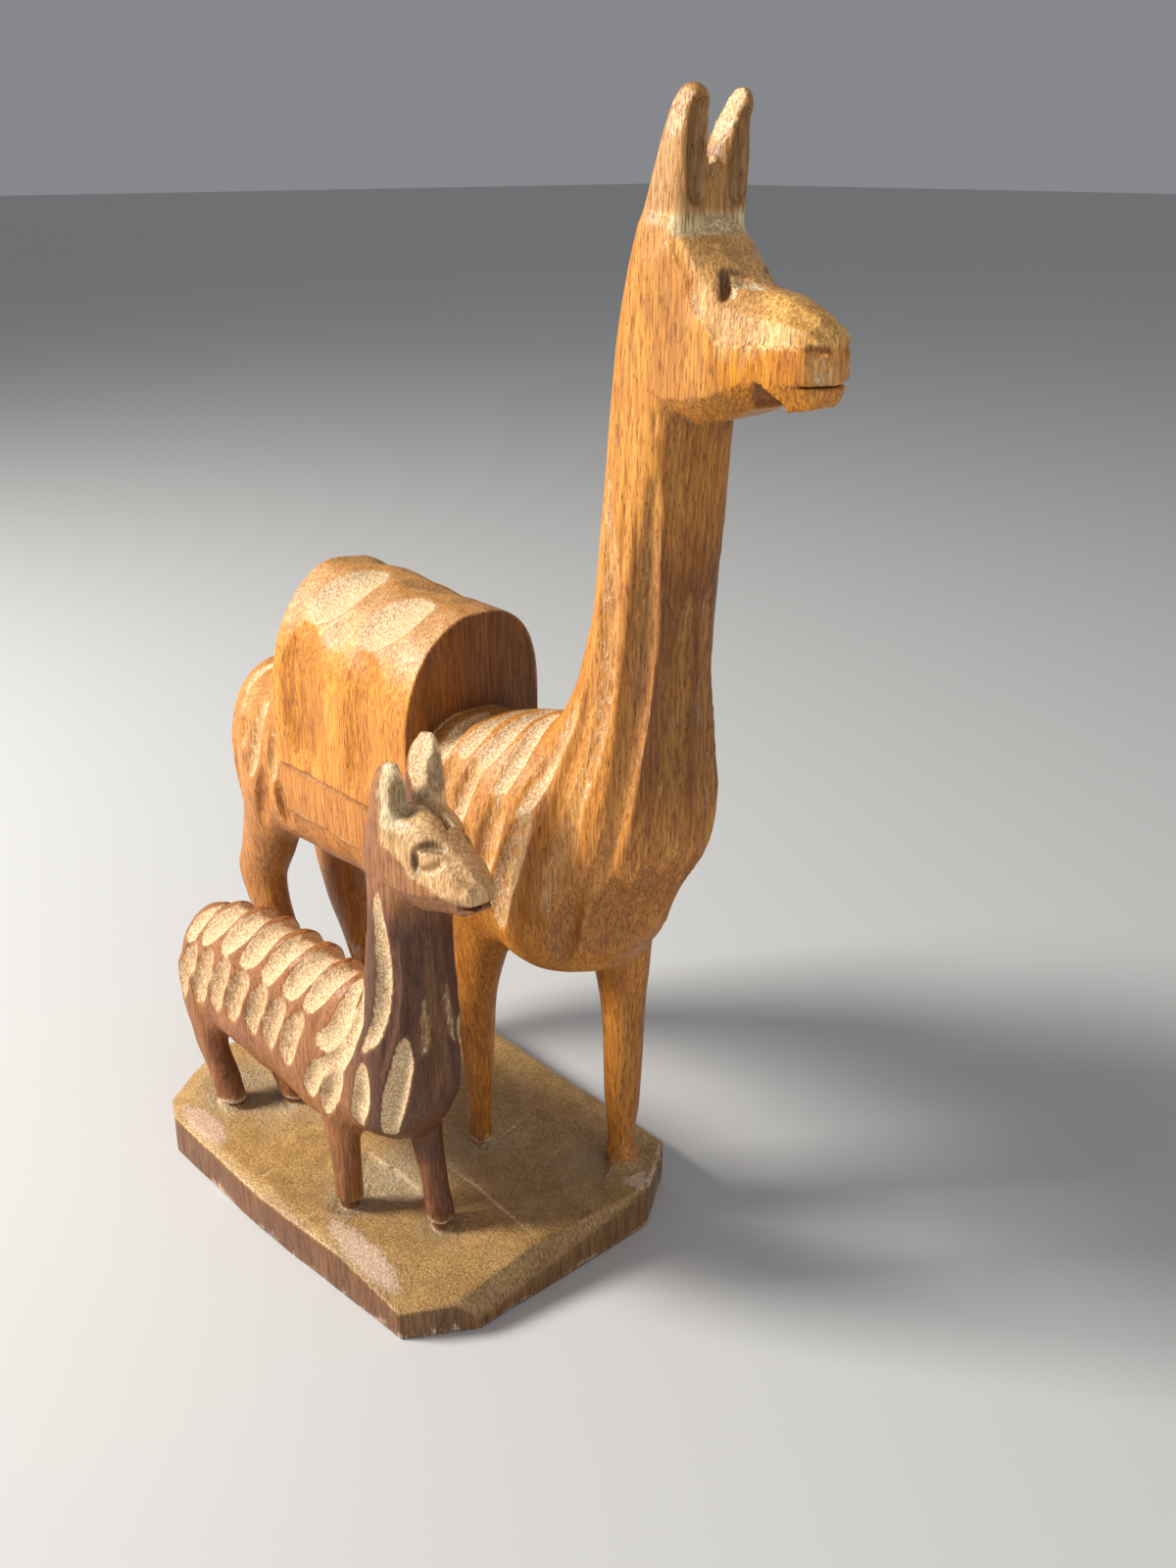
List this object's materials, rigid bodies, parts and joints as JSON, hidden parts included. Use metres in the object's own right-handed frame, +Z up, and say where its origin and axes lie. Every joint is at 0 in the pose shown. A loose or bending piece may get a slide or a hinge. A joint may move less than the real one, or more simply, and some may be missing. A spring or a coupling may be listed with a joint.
{
  "type": "carved llama figurine",
  "caption": "Carved wooden llama with an arched pack on her back and her young standing beside her, in one piece with a low chamfered base; stands as an ornament.",
  "frame": {"origin": "middle of the base's underside, below the middle of the figure's bounding box", "axes": "+X the way both animals face, +Y the mother's left, +Z up along the grain"},
  "size_m": [0.1732, 0.0788, 0.225],
  "materials": {
    "carved_wood": "hand-carved and lightly polished, with paler gouge cuts"
  },
  "bodies": {
    "root": {"llama_figurine": "carved_wood"}
  },
  "joints": []
}
